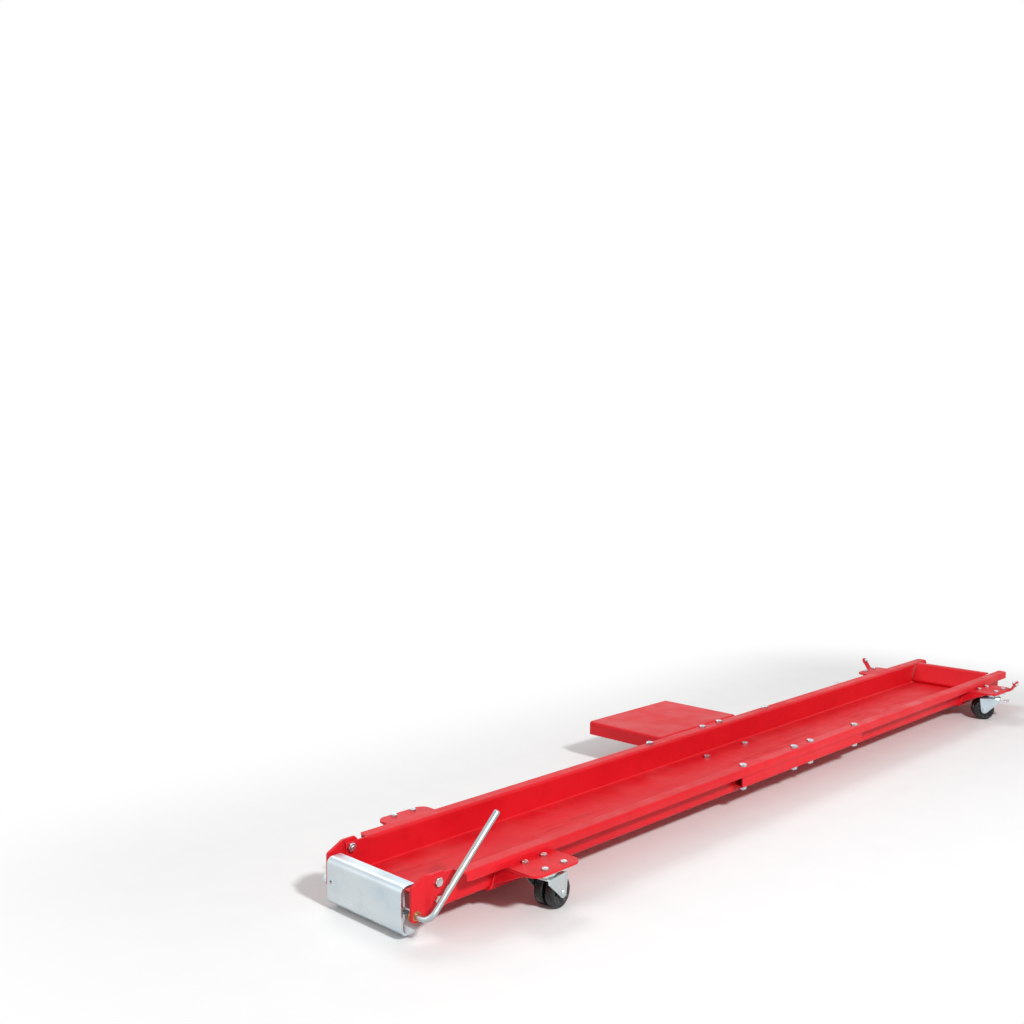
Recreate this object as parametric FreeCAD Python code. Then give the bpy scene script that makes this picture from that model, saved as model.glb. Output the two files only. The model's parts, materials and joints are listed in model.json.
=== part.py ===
import FreeCAD, Part
import math
import os

from FreeCAD import Vector

# Motorcycle mover dolly: a folded sheet trough in two halves on four swivel casters.
# Working frame: +X towards the front wheel, +Y towards the side stand, floor at Z = 0, seam at X = 0.
# The finished pieces are moved so that the origin is the bottom centre of the whole dolly.

# Trough
HALF_LENGTH = 1026.0
SHEET = 3.0
BEND = 3.0
INNER_WIDTH = 200.0
FLOOR_UNDERSIDE = 37.0
WALL_HEIGHT = 52.5
FLANGE_WIDTH = 29.0
LIP_HEIGHT = 15.0
RAIL_CORNER = 16.0
FLANGE_CUT_BACK = 45.0
FLOOR_CUT_BACK = 22.0
SEAM_GAP = 0.8

# Splice of the two halves
TUBE_LENGTH = 470.0
TUBE_HEIGHT = 35.0
TUBE_WALL = 2.5
TUBE_SIDE_GAP = 0.5
TUBE_CORNER = 3.0
TUBE_BOLT_INNER = 31.75
TUBE_BOLT_OUTER = 219.0
FLOOR_PLATE_LENGTH = 210.0
FLOOR_PLATE_WIDTH = 186.0
FLOOR_PLATE_CORNER = 12.0
FLOOR_BOLT_X = 73.0
FLOOR_BOLT_Y = 73.0

# Outriggers that carry the casters
OUTRIGGER_SHEET = 4.0
OUTRIGGER_BEND = 4.0
OUTRIGGER_LENGTH = 108.0
OUTRIGGER_FLARE = 15.0
OUTRIGGER_MARGIN = 3.0
OUTRIGGER_CORNER = 18.0
GUSSET_SHEET = 3.0
GUSSET_SHORT = 19.0
GUSSET_INSET = 1.0
WELD_DEPTH = 2.5
REAR_CASTER_INSET = 189.0
FRONT_CASTER_INSET = 176.0
CASTER_HEAD_GAP = 1.75

# Tie-down tabs at the front outriggers
TAB_WIDTH = 18.0
TAB_STUB = 6.0
TAB_RISE = 27.0
TAB_RUN = 18.0
TAB_ROUND = 8.0

# Casters
CASTER_PLATE = 60.0
CASTER_PLATE_SHEET = 2.5
CASTER_PLATE_CORNER = 8.0
CASTER_PITCH = 43.0
WHEEL_RADIUS = 25.4
WHEEL_WIDTH = 16.5
WHEEL_SPACING = 21.0
WHEEL_SHOULDER = 4.0
WHEEL_SHOULDER_STEP = 1.2
WHEEL_DISH_OUTER = 17.0
WHEEL_DISH_INNER = 9.5
WHEEL_DISH_DEPTH = 3.0
HUB_PROUD = 0.8
AXLE_RADIUS = 3.5
AXLE_HEAD = 5.5
AXLE_HEAD_HEIGHT = 1.8
AXLE_HEAD_EDGE = 1.0
TRAIL = 21.0
FORK_SHEET = 2.5
FORK_BEND = 2.0
FORK_WHEEL_GAP = 4.5
FORK_SIDE_GAP = 0.4
FORK_NOSE = 20.0
FORK_TAIL = 33.0
FORK_TIP = 8.5
FORK_CORNER = 8.0
RACE_RADIUS = 19.0
RACE_WIDTH = 5.0
RACE_GAP = 0.3
KINGPIN_RADIUS = 5.0
KINGPIN_HEAD = 7.5
KINGPIN_HEAD_HEIGHT = 2.5

# Brake pedals of the front casters
PEDAL_SHEET = 2.5
PEDAL_PIN_RADIUS = 2.5
PEDAL_PIN_X = -11.0
PEDAL_PIN_DROP = 6.5
PEDAL_REACH = 48.0
PEDAL_WIDTH = 24.0
PEDAL_DROP = 5.0
PEDAL_TREAD = 16.0
PEDAL_SIDE_GAP = 0.4
PEDAL_SHOE_LENGTH = 13.8
PEDAL_SHOE_TURN = 30.0

# Rest angle of each caster's trail, in degrees from +X
REST_ANGLES = {"rear_right": 8.0, "rear_left": -22.0, "front_right": 128.0, "front_left": 150.0}

# Rear wheel stop, its lever and the ears that carry it
EAR_SHEET = 5.0
EAR_REACH = 37.0
EAR_OVERLAP = 26.0
EAR_RISE = 6.0
EAR_DROP = 8.5
EAR_JOG = 5.0
EAR_JOG_RUN = 8.0
EAR_JOG_GAP = 2.0
EAR_CHAMFER_X = 26.0
EAR_CHAMFER_Z = 13.0
EAR_CORNER = 6.0
EAR_BOLT_SETBACK = 9.5
EAR_BOLT_LOW = 17.5
EAR_BOLT_HIGH = 45.0
STOP_WIDTH = 178.0
STOP_HEIGHT = 75.0
STOP_DEPTH = 27.0
STOP_SHEET = 4.0
STOP_BEND = 7.0
STOP_SETBACK = 46.0
STOP_DROP = 30.0
STOP_HOLE_RADIUS = 3.0
STOP_HOLE_INSET = 9.0
LUG_SHEET = 5.0
LUG_SPREAD = 120.0
LUG_MARGIN = 6.0
LUG_ROUND = 12.0
PIVOT_SETBACK = 27.0
PIVOT_RISE = 1.0
SHAFT_RADIUS = 5.0
LEVER_LENGTH = 192.5
LEVER_ANGLE = 43.0
LEVER_GAP = 17.0
LEVER_BEND = 14.0
LEVER_CHAMFER = 1.5
BUSH_WALL = 2.5
BUSH_FLANGE = 3.5
BUSH_FLANGE_HEIGHT = 2.0
COLLAR_WALL = 4.5
COLLAR_LENGTH = 9.0

# Front wheel stop
FRONT_STOP_INSET = 92.0
FRONT_STOP_LEAN = 44.0
FRONT_STOP_SHEET = 3.0
FRONT_STOP_BEND = 4.0
FRONT_STOP_FOOT = 30.0
FRONT_STOP_TOP = 16.0
FRONT_STOP_SIDE_GAP = 0.5
FRONT_STOP_BOLT_Y = 62.0

# Side-stand plate
SIDE_PLATE_LENGTH = 283.0
SIDE_PLATE_WIDTH = 205.0
SIDE_PLATE_CENTRE = -18.0
SIDE_PLATE_SKIRT = 30.0
SIDE_PLATE_SHEET = 4.0
SIDE_PLATE_BEND = 3.0
SIDE_BOLT_SPREAD = 100.0
SIDE_BOLT_DROP = 24.0

# Fasteners: shank radius, head width across flats, head height, nut height
BOLT_M8 = {"shank": 4.0, "flats": 13.0, "head": 5.3, "nut": 6.5}
BOLT_M6 = {"shank": 3.0, "flats": 10.0, "head": 4.0, "nut": 5.0}
HOLE_CLEARANCE = 0.25
THREAD_CLEARANCE = 0.05
RUNNING_CLEARANCE = 0.05
SEAT_CLEARANCE = 0.02
BOLT_TIP = 2.0
CUT_PAST = 1.0
SPACER_WALL = 4.0

# Heights and half widths that follow from the sizes above
FLOOR_TOP = FLOOR_UNDERSIDE + SHEET
RAIL_TOP = FLOOR_UNDERSIDE + WALL_HEIGHT
FLANGE_UNDERSIDE = RAIL_TOP - SHEET
LIP_BOTTOM = RAIL_TOP - LIP_HEIGHT
WALL_INNER = INNER_WIDTH / 2
WALL_OUTER = WALL_INNER + SHEET
LIP_OUTER = WALL_INNER + FLANGE_WIDTH
LIP_INNER = LIP_OUTER - SHEET
TUBE_INNER_FACE = WALL_OUTER + TUBE_SIDE_GAP
TUBE_OUTER_FACE = LIP_INNER - TUBE_SIDE_GAP
TUBE_BOTTOM = FLANGE_UNDERSIDE - TUBE_HEIGHT
TUBE_BOLT_Y = (TUBE_INNER_FACE + TUBE_OUTER_FACE) / 2
OUTRIGGER_TOP = LIP_BOTTOM
REAR_CASTER_X = -(HALF_LENGTH - REAR_CASTER_INSET)
FRONT_CASTER_X = HALF_LENGTH - FRONT_CASTER_INSET
CASTER_Y = LIP_OUTER + CASTER_HEAD_GAP + BOLT_M6["flats"] / math.sqrt(3) + CASTER_PITCH / 2
OUTRIGGER_REACH = CASTER_Y + CASTER_PLATE / 2 + OUTRIGGER_MARGIN
GUSSET_REACH = OUTRIGGER_REACH - GUSSET_SHORT
FRONT_STOP_X = HALF_LENGTH - FRONT_STOP_INSET
CASTER_HEIGHT = OUTRIGGER_TOP - OUTRIGGER_SHEET
STRAP_BOTTOM = FLOOR_UNDERSIDE - OUTRIGGER_SHEET
UPRIGHT_OUTER = WALL_OUTER + OUTRIGGER_SHEET
CASTER_PLATE_BOTTOM = CASTER_HEIGHT - CASTER_PLATE_SHEET
CROWN_BOTTOM = 2 * WHEEL_RADIUS + FORK_WHEEL_GAP
CROWN_TOP = CROWN_BOTTOM + FORK_SHEET
FORK_INNER = WHEEL_SPACING / 2 + WHEEL_WIDTH / 2 + HUB_PROUD + FORK_SIDE_GAP
FORK_OUTER = FORK_INNER + FORK_SHEET
PIVOT_X = -(HALF_LENGTH + PIVOT_SETBACK)
PIVOT_HEIGHT = FLOOR_UNDERSIDE + PIVOT_RISE
STOP_BOTTOM = FLOOR_UNDERSIDE - STOP_DROP
STOP_WEB_OUTER = -(HALF_LENGTH + STOP_SETBACK)
STOP_WEB_INNER = STOP_WEB_OUTER + STOP_SHEET
EAR_TOP = RAIL_TOP + EAR_RISE
EAR_BOTTOM = FLOOR_UNDERSIDE - EAR_DROP
EAR_OUTER = WALL_OUTER + EAR_SHEET
EAR_REAR_INNER = WALL_OUTER - EAR_JOG
EAR_REAR_OUTER = EAR_REAR_INNER + EAR_SHEET
EAR_REAR = -(HALF_LENGTH + EAR_REACH)
EAR_FRONT = -(HALF_LENGTH - EAR_OVERLAP)
LEVER_Y = EAR_OUTER + LEVER_GAP + SHAFT_RADIUS
CASTER_PLACES = {
    "rear_right": (REAR_CASTER_X, -CASTER_Y),
    "rear_left": (REAR_CASTER_X, CASTER_Y),
    "front_right": (FRONT_CASTER_X, -CASTER_Y),
    "front_left": (FRONT_CASTER_X, CASTER_Y),
}


# Basic shapes
def box(x_range, y_range, z_range):
    lengths = [abs(pair[1] - pair[0]) for pair in (x_range, y_range, z_range)]
    return Part.makeBox(*lengths, Vector(min(x_range), min(y_range), min(z_range)))


def cylinder(radius, start, direction, length):
    return Part.makeCylinder(radius, length, start, direction)


def hexagon(flats, start, direction, length):
    """A hexagonal prism, centred on its axis."""
    corner = flats / math.sqrt(3)
    points = []
    for step in range(7):
        turn = math.radians(60 * step)
        points.append(Vector(corner * math.cos(turn), corner * math.sin(turn), 0))
    prism = Part.Face(Part.makePolygon(points)).extrude(Vector(0, 0, length))
    prism.Placement = FreeCAD.Placement(start, FreeCAD.Rotation(Vector(0, 0, 1), direction))
    return prism


def fuse(*shapes):
    return shapes[0].multiFuse(list(shapes[1:])).removeSplitter()


def cut(shape, *tools):
    return shape.cut(Part.makeCompound(list(tools)))


def mirrored(shape):
    """The same piece on the other side of the dolly's middle plane."""
    return shape.mirror(Vector(0, 0, 0), Vector(0, 1, 0))


def round_uprights(shape, radius, keep):
    """Rounds the vertical edges for which keep(point) is true."""
    edges = []
    for edge in shape.Edges:
        first, last = edge.Vertexes[0].Point, edge.Vertexes[-1].Point
        upright = abs(first.x - last.x) + abs(first.y - last.y) < 1e-6
        if upright and keep((first + last) / 2):
            edges.append(edge)
    return shape.makeFillet(radius, edges)


# Folded sheet: a profile of constant thickness with rounded bends
def direction_of(first, last):
    length = math.hypot(last[0] - first[0], last[1] - first[1])
    return ((last[0] - first[0]) / length, (last[1] - first[1]) / length)


def turn_of(before, corner, after):
    """The signed sine and the cosine of the turn at a corner."""
    d1, d2 = direction_of(before, corner), direction_of(corner, after)
    return d1[0] * d2[1] - d1[1] * d2[0], d1[0] * d2[0] + d1[1] * d2[1]


def offset_left(points, distance):
    """The open polyline moved to its left, with mitred corners."""
    moved = []
    for index, point in enumerate(points):
        normals = []
        if index > 0:
            d = direction_of(points[index - 1], point)
            normals.append((-d[1], d[0]))
        if index < len(points) - 1:
            d = direction_of(point, points[index + 1])
            normals.append((-d[1], d[0]))
        first, last = normals[0], normals[-1]
        scale = distance / (1 + first[0] * last[0] + first[1] * last[1])
        if len(normals) == 1:
            scale = distance / 2
        moved.append((point[0] + scale * (first[0] + last[0]), point[1] + scale * (first[1] + last[1])))
    return moved


def rounded_path(points, radii, place):
    """Edges along the points, with an arc at each corner that has a radius."""
    edges = []
    start = points[0]
    for index in range(1, len(points) - 1):
        corner, radius = points[index], radii[index]
        d1 = direction_of(points[index - 1], corner)
        d2 = direction_of(corner, points[index + 1])
        sine, cosine = turn_of(points[index - 1], corner, points[index + 1])
        half = math.atan2(abs(sine), cosine) / 2
        reach = radius * math.tan(half)
        enter = (corner[0] - d1[0] * reach, corner[1] - d1[1] * reach)
        leave = (corner[0] + d2[0] * reach, corner[1] + d2[1] * reach)
        inward = (d2[0] - d1[0], d2[1] - d1[1])
        size = math.hypot(*inward)
        sag = radius / math.cos(half) - radius
        middle = (corner[0] + inward[0] / size * sag, corner[1] + inward[1] / size * sag)
        edges.append(Part.LineSegment(place(*start), place(*enter)).toShape())
        edges.append(Part.Arc(place(*enter), place(*middle), place(*leave)).toShape())
        start = leave
    edges.append(Part.LineSegment(place(*start), place(*points[-1])).toShape())
    return edges


def folded_face(points, thickness, bend, place):
    """The section of a folded sheet: points run along one face, the sheet lies to their left."""
    inner = offset_left(points, thickness)
    near_radii, far_radii = [0.0], [0.0]
    for before, corner, after in zip(points, points[1:], points[2:]):
        left_turn = turn_of(before, corner, after)[0] > 0
        near_radii.append(bend + thickness if left_turn else bend)
        far_radii.append(bend if left_turn else bend + thickness)
    near_radii.append(0.0)
    far_radii.append(0.0)
    edges = rounded_path(points, near_radii, place)
    edges.append(Part.LineSegment(place(*points[-1]), place(*inner[-1])).toShape())
    edges += rounded_path(inner[::-1], far_radii[::-1], place)
    edges.append(Part.LineSegment(place(*inner[0]), place(*points[0])).toShape())
    return Part.Face(Part.Wire(Part.__sortEdges__(edges)))


def folded_along_x(points, thickness, bend, x_range):
    face = folded_face(points, thickness, bend, lambda y, z: Vector(min(x_range), y, z))
    return face.extrude(Vector(abs(x_range[1] - x_range[0]), 0, 0))


def folded_along_y(points, thickness, bend, y_range):
    face = folded_face(points, thickness, bend, lambda x, z: Vector(x, min(y_range), z))
    return face.extrude(Vector(0, abs(y_range[1] - y_range[0]), 0))


# Fasteners
def bolt(size, seat, direction, grip):
    """A hexagon bolt: its head stands on seat, its shank runs along direction and past the nut."""
    head = hexagon(size["flats"], seat, direction * -1, size["head"])
    shank = cylinder(size["shank"], seat, direction, grip + size["nut"] + BOLT_TIP)
    return fuse(head, shank)


def nut(size, seat, direction):
    body = hexagon(size["flats"], seat, direction, size["nut"])
    return cut(body, cylinder(size["shank"] + THREAD_CLEARANCE, seat, direction, size["nut"]))


def bolt_hole(size, start, direction, length):
    return cylinder(size["shank"] + HOLE_CLEARANCE, start, direction, length)


UP = Vector(0, 0, 1)
DOWN = Vector(0, 0, -1)
LEFT = Vector(0, 1, 0)
FORWARD = Vector(1, 0, 0)


# Places of the fasteners in the trough
def flange_bolt_places():
    stations = (-TUBE_BOLT_OUTER, -TUBE_BOLT_INNER, TUBE_BOLT_INNER, TUBE_BOLT_OUTER)
    return [(x, side * TUBE_BOLT_Y) for side in (-1, 1) for x in stations]


def floor_bolt_places():
    return [(x, y) for x in (-FLOOR_BOLT_X, FLOOR_BOLT_X) for y in (-FLOOR_BOLT_Y, FLOOR_BOLT_Y)]


def front_stop_bolt_places():
    x = FRONT_STOP_X + FRONT_STOP_LEAN + FRONT_STOP_FOOT / 2
    return [(x, -FRONT_STOP_BOLT_Y), (x, FRONT_STOP_BOLT_Y)]


def ear_bolt_places():
    x = -(HALF_LENGTH - EAR_BOLT_SETBACK)
    return [(x, FLOOR_UNDERSIDE + EAR_BOLT_LOW), (x, FLOOR_UNDERSIDE + EAR_BOLT_HIGH)]


def side_bolt_stations():
    return [SIDE_PLATE_CENTRE + step * SIDE_BOLT_SPREAD for step in (-1, 0, 1)]


SIDE_BOLT_Z = RAIL_TOP - SIDE_BOLT_DROP


# Trough halves
def trough(x_range):
    """The channel between two stations: floor, walls, outward flanges and turned-down lips."""
    outline = [
        (-LIP_OUTER, LIP_BOTTOM),
        (-LIP_OUTER, RAIL_TOP),
        (-WALL_INNER, RAIL_TOP),
        (-WALL_INNER, FLOOR_TOP),
        (WALL_INNER, FLOOR_TOP),
        (WALL_INNER, RAIL_TOP),
        (LIP_OUTER, RAIL_TOP),
        (LIP_OUTER, LIP_BOTTOM),
    ]
    return folded_along_x(outline[::-1], SHEET, BEND, x_range)


def rail_end_cutters(x, towards):
    """Rounds off the outer corners of both rails at one end of the trough."""
    tools = []
    for side in (-1, 1):
        centre = Vector(x - towards * RAIL_CORNER, side * (LIP_OUTER - RAIL_CORNER), LIP_BOTTOM)
        heights = (LIP_BOTTOM - CUT_PAST, RAIL_TOP + CUT_PAST)
        corner = box((x, centre.x), (side * (LIP_OUTER + CUT_PAST), centre.y), heights)
        rounding = cylinder(RAIL_CORNER, centre - UP * CUT_PAST, UP, LIP_HEIGHT + 2 * CUT_PAST)
        tools.append(corner.cut(rounding))
    return tools


def vertical_hole(size, place, low, high):
    return bolt_hole(size, Vector(place[0], place[1], low), UP, high - low)


def splice_holes():
    top, floor = RAIL_TOP + CUT_PAST, FLOOR_TOP + CUT_PAST
    holes = [vertical_hole(BOLT_M8, place, TUBE_BOTTOM, top) for place in flange_bolt_places()]
    holes += [vertical_hole(BOLT_M8, place, 0, floor) for place in floor_bolt_places()]
    return holes


def side_holes():
    """Level holes through the outer wall of the left splice tube and the skirt of the side plate."""
    start = TUBE_BOLT_Y
    length = LIP_OUTER + 2 * SIDE_PLATE_SHEET - start
    return [bolt_hole(BOLT_M8, Vector(x, start, SIDE_BOLT_Z), LEFT, length) for x in side_bolt_stations()]


def rear_channel():
    """The rear half: plain walls for the ears at its end, where the rails stop short."""
    rear = -HALF_LENGTH
    flange_end = rear + FLANGE_CUT_BACK
    tools = splice_holes() + rail_end_cutters(flange_end, -1)
    for side in (-1, 1):
        for x, z in ear_bolt_places():
            tools.append(bolt_hole(BOLT_M8, Vector(x, side * WALL_INNER - 2 * SHEET, z), LEFT, 4 * SHEET))
    clear = WALL_INNER - BEND
    tools.append(box((rear - CUT_PAST, rear + FLOOR_CUT_BACK), (-clear, clear), (0, FLOOR_TOP + CUT_PAST)))
    plain = [
        (-WALL_INNER, RAIL_TOP),
        (-WALL_INNER, FLOOR_TOP),
        (WALL_INNER, FLOOR_TOP),
        (WALL_INNER, RAIL_TOP),
    ]
    end = folded_along_x(plain[::-1], SHEET, BEND, (rear, flange_end))
    return cut(fuse(end, trough((flange_end, -SEAM_GAP / 2))), *tools)


def front_channel():
    tools = splice_holes() + rail_end_cutters(HALF_LENGTH, 1)
    tools += [vertical_hole(BOLT_M8, place, 0, FLOOR_TOP + CUT_PAST) for place in front_stop_bolt_places()]
    return cut(trough((SEAM_GAP / 2, HALF_LENGTH)), *tools)


# Splice pieces
def splice_tube():
    """The tube under the left flange that carries the seam."""
    half = TUBE_LENGTH / 2
    y_range, z_range = (TUBE_INNER_FACE, TUBE_OUTER_FACE), (TUBE_BOTTOM, FLANGE_UNDERSIDE)
    solid = box((-half, half), y_range, z_range)
    edges = [edge for edge in solid.Edges if abs(edge.tangentAt(0).x) > 0.99]
    solid = solid.makeFillet(TUBE_CORNER, edges)
    bore = box(
        (-half - CUT_PAST, half + CUT_PAST),
        (TUBE_INNER_FACE + TUBE_WALL, TUBE_OUTER_FACE - TUBE_WALL),
        (TUBE_BOTTOM + TUBE_WALL, FLANGE_UNDERSIDE - TUBE_WALL),
    )
    return solid.cut(bore)


def splice_tube_left():
    return cut(splice_tube(), *splice_holes(), *side_holes())


def splice_tube_right():
    low = TUBE_BOTTOM - CUT_PAST
    holes = [vertical_hole(BOLT_M8, place, low, RAIL_TOP) for place in flange_bolt_places()]
    return cut(mirrored(splice_tube()), *holes)


def splice_floor_plate():
    half_x, half_y = FLOOR_PLATE_LENGTH / 2, FLOOR_PLATE_WIDTH / 2
    plate = box((-half_x, half_x), (-half_y, half_y), (FLOOR_UNDERSIDE - SHEET, FLOOR_UNDERSIDE))
    plate = round_uprights(plate, FLOOR_PLATE_CORNER, lambda point: True)
    return cut(plate, *[vertical_hole(BOLT_M8, place, 0, FLOOR_TOP) for place in floor_bolt_places()])


def flange_bolts():
    grip = RAIL_TOP - TUBE_BOTTOM
    return [bolt(BOLT_M8, Vector(x, y, RAIL_TOP), DOWN, grip) for x, y in flange_bolt_places()]


def flange_nuts():
    return [nut(BOLT_M8, Vector(x, y, TUBE_BOTTOM), DOWN) for x, y in flange_bolt_places()]


def floor_bolts():
    return [bolt(BOLT_M8, Vector(x, y, FLOOR_TOP), DOWN, 2 * SHEET) for x, y in floor_bolt_places()]


def floor_nuts():
    return [nut(BOLT_M8, Vector(x, y, FLOOR_UNDERSIDE - SHEET), DOWN) for x, y in floor_bolt_places()]


# Outriggers: a strap folded under the floor, up the walls and out to the caster plates
def gusset(end):
    """The triangular web welded across one edge of the strap, on the left side."""
    slope = OUTRIGGER_FLARE / (CASTER_HEIGHT - FLOOR_UNDERSIDE)
    root, top = UPRIGHT_OUTER - WELD_DEPTH, CASTER_HEIGHT + WELD_DEPTH
    foot = STRAP_BOTTOM + OUTRIGGER_SHEET + OUTRIGGER_BEND + WELD_DEPTH
    corners = []
    for y, z in ((root, top), (GUSSET_REACH, top), (root, foot)):
        x = OUTRIGGER_LENGTH / 2 - GUSSET_INSET + slope * (CASTER_HEIGHT - z)
        corners.append(Vector(end * x, y, z))
    inward = Vector(-end, 0, -slope).normalize()
    face = Part.Face(Part.makePolygon(corners + corners[:1]))
    return face.extrude(inward * GUSSET_SHEET)


def caster_bolt_offsets():
    half = CASTER_PITCH / 2
    return [(dx, dy) for dx in (-half, half) for dy in (-half, half)]


def outrigger():
    """One outrigger about X = 0, with both of its caster plates."""
    outline = [
        (-OUTRIGGER_REACH, OUTRIGGER_TOP),
        (-WALL_OUTER, OUTRIGGER_TOP),
        (-WALL_OUTER, FLOOR_UNDERSIDE),
        (WALL_OUTER, FLOOR_UNDERSIDE),
        (WALL_OUTER, OUTRIGGER_TOP),
        (OUTRIGGER_REACH, OUTRIGGER_TOP),
    ]
    top, foot = OUTRIGGER_LENGTH / 2, OUTRIGGER_LENGTH / 2 + OUTRIGGER_FLARE
    strap = folded_along_x(outline[::-1], OUTRIGGER_SHEET, OUTRIGGER_BEND, (-foot, foot))
    side_view = [
        Vector(-foot, -OUTRIGGER_REACH, STRAP_BOTTOM - CUT_PAST),
        Vector(foot, -OUTRIGGER_REACH, STRAP_BOTTOM - CUT_PAST),
        Vector(foot, -OUTRIGGER_REACH, FLOOR_UNDERSIDE),
        Vector(top, -OUTRIGGER_REACH, CASTER_HEIGHT),
        Vector(top, -OUTRIGGER_REACH, OUTRIGGER_TOP + CUT_PAST),
        Vector(-top, -OUTRIGGER_REACH, OUTRIGGER_TOP + CUT_PAST),
        Vector(-top, -OUTRIGGER_REACH, CASTER_HEIGHT),
        Vector(-foot, -OUTRIGGER_REACH, FLOOR_UNDERSIDE),
    ]
    blank = Part.Face(Part.makePolygon(side_view + side_view[:1])).extrude(LEFT * 2 * OUTRIGGER_REACH)
    strap = strap.common(blank)
    strap = round_uprights(strap, OUTRIGGER_CORNER, lambda point: abs(point.y) > LIP_OUTER)
    webs = [gusset(end) for end in (-1, 1)]
    body = fuse(strap, *webs, *[mirrored(web) for web in webs])
    holes = []
    for side in (-1, 1):
        for dx, dy in caster_bolt_offsets():
            place = (dx, side * CASTER_Y + dy)
            holes.append(vertical_hole(BOLT_M6, place, CASTER_HEIGHT - CUT_PAST, OUTRIGGER_TOP + CUT_PAST))
    return cut(body, *holes)


def rear_outrigger():
    return outrigger().translated(Vector(REAR_CASTER_X, 0, 0))


def tie_down_tab():
    """The strap welded to the outer edge of the left front caster plate and bent up, with its eye."""
    slope = math.hypot(TAB_RUN, TAB_RISE)
    front = FRONT_CASTER_X + OUTRIGGER_LENGTH / 2 - OUTRIGGER_CORNER
    fold, base = OUTRIGGER_REACH + TAB_STUB, OUTRIGGER_TOP - GUSSET_SHEET
    outline = [(OUTRIGGER_REACH, base), (fold, base), (fold + TAB_RUN, base + TAB_RISE)]
    strap = folded_along_x(outline, GUSSET_SHEET, BEND, (front - TAB_WIDTH, front))
    along = Vector(0, TAB_RUN / slope, TAB_RISE / slope)
    across = Vector(0, -along.z, along.y)
    eye = Vector(front - TAB_WIDTH / 2, fold, base) + along * (slope - TAB_WIDTH / 2)
    hole = bolt_hole(BOLT_M6, eye - across * 2 * GUSSET_SHEET, across, 4 * GUSSET_SHEET)
    corners = []
    for edge in strap.Edges:
        through = abs(edge.tangentAt(0).dot(across)) > 0.99
        if through and edge.CenterOfMass.z > eye.z:
            corners.append(edge)
    return strap.makeFillet(TAB_ROUND, corners).cut(hole), eye, across


def front_outrigger():
    return outrigger().translated(Vector(FRONT_CASTER_X, 0, 0))


def tie_down_tabs():
    strap = tie_down_tab()[0]
    return [strap, mirrored(strap)]


def tie_down_screws():
    eye, across = tie_down_tab()[1:]
    screw = bolt(BOLT_M6, eye, across, GUSSET_SHEET)
    return [screw, mirrored(screw)]


def tie_down_nuts():
    eye, across = tie_down_tab()[1:]
    piece = nut(BOLT_M6, eye + across * GUSSET_SHEET, across)
    return [piece, mirrored(piece)]


def caster_bolt_seats(z):
    seats = []
    for x, y in CASTER_PLACES.values():
        seats += [Vector(x + dx, y + dy, z) for dx, dy in caster_bolt_offsets()]
    return seats


def caster_bolts():
    grip = OUTRIGGER_SHEET + CASTER_PLATE_SHEET - BOLT_TIP
    return [bolt(BOLT_M6, seat, DOWN, grip) for seat in caster_bolt_seats(OUTRIGGER_TOP)]


def caster_nuts():
    return [nut(BOLT_M6, seat, DOWN) for seat in caster_bolt_seats(CASTER_PLATE_BOTTOM)]


# Casters, built about their swivel axis with the trail along +X
def caster_plate():
    half = CASTER_PLATE / 2
    plate = box((-half, half), (-half, half), (CASTER_PLATE_BOTTOM, CASTER_HEIGHT))
    plate = round_uprights(plate, CASTER_PLATE_CORNER, lambda point: True)
    race_height = CASTER_PLATE_BOTTOM - CROWN_TOP - RACE_GAP
    seat = Vector(0, 0, CASTER_PLATE_BOTTOM)
    race = cylinder(RACE_RADIUS, seat, DOWN, race_height)
    race = race.cut(cylinder(RACE_RADIUS - RACE_WIDTH, seat, DOWN, race_height))
    pin_hole = cylinder(KINGPIN_RADIUS + SEAT_CLEARANCE, seat - UP * CUT_PAST, UP, CASTER_PLATE)
    low, high = CASTER_PLATE_BOTTOM - CUT_PAST, CASTER_HEIGHT + CUT_PAST
    holes = [vertical_hole(BOLT_M6, place, low, high) for place in caster_bolt_offsets()]
    return cut(fuse(plate, race), pin_hole, *holes)


def caster_kingpin():
    """The rivet that holds the fork to the plate."""
    seat = Vector(0, 0, CROWN_BOTTOM - RACE_GAP)
    head = cylinder(KINGPIN_HEAD, seat, DOWN, KINGPIN_HEAD_HEIGHT)
    pin = cylinder(KINGPIN_RADIUS, seat, UP, CASTER_HEIGHT - seat.z)
    return fuse(head, pin)


def fork_leg_outline():
    """Side view of the fork: a crown that tapers to a round tip about the axle."""
    axle = Vector(TRAIL, 0, WHEEL_RADIUS)
    shoulder = CROWN_BOTTOM - FORK_BEND - FORK_SHEET
    nose, tail = Vector(-FORK_NOSE, 0, shoulder), Vector(FORK_TAIL, 0, shoulder)
    touches = []
    for point, side in ((nose, -1), (tail, 1)):
        gap = point - axle
        distance = math.hypot(gap.x, gap.z)
        heading = math.atan2(gap.z, gap.x)
        turn = heading - side * math.acos(FORK_TIP / distance)
        touches.append(axle + Vector(FORK_TIP * math.cos(turn), 0, FORK_TIP * math.sin(turn)))
    lowest = axle + Vector(0, 0, -FORK_TIP)
    top_nose, top_tail = Vector(-FORK_NOSE, 0, CROWN_TOP), Vector(FORK_TAIL, 0, CROWN_TOP)
    edges = [
        Part.LineSegment(touches[1], tail).toShape(),
        Part.LineSegment(tail, top_tail).toShape(),
        Part.LineSegment(top_tail, top_nose).toShape(),
        Part.LineSegment(top_nose, nose).toShape(),
        Part.LineSegment(nose, touches[0]).toShape(),
        Part.Arc(touches[0], lowest, touches[1]).toShape(),
    ]
    return Part.Face(Part.Wire(edges))


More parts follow.
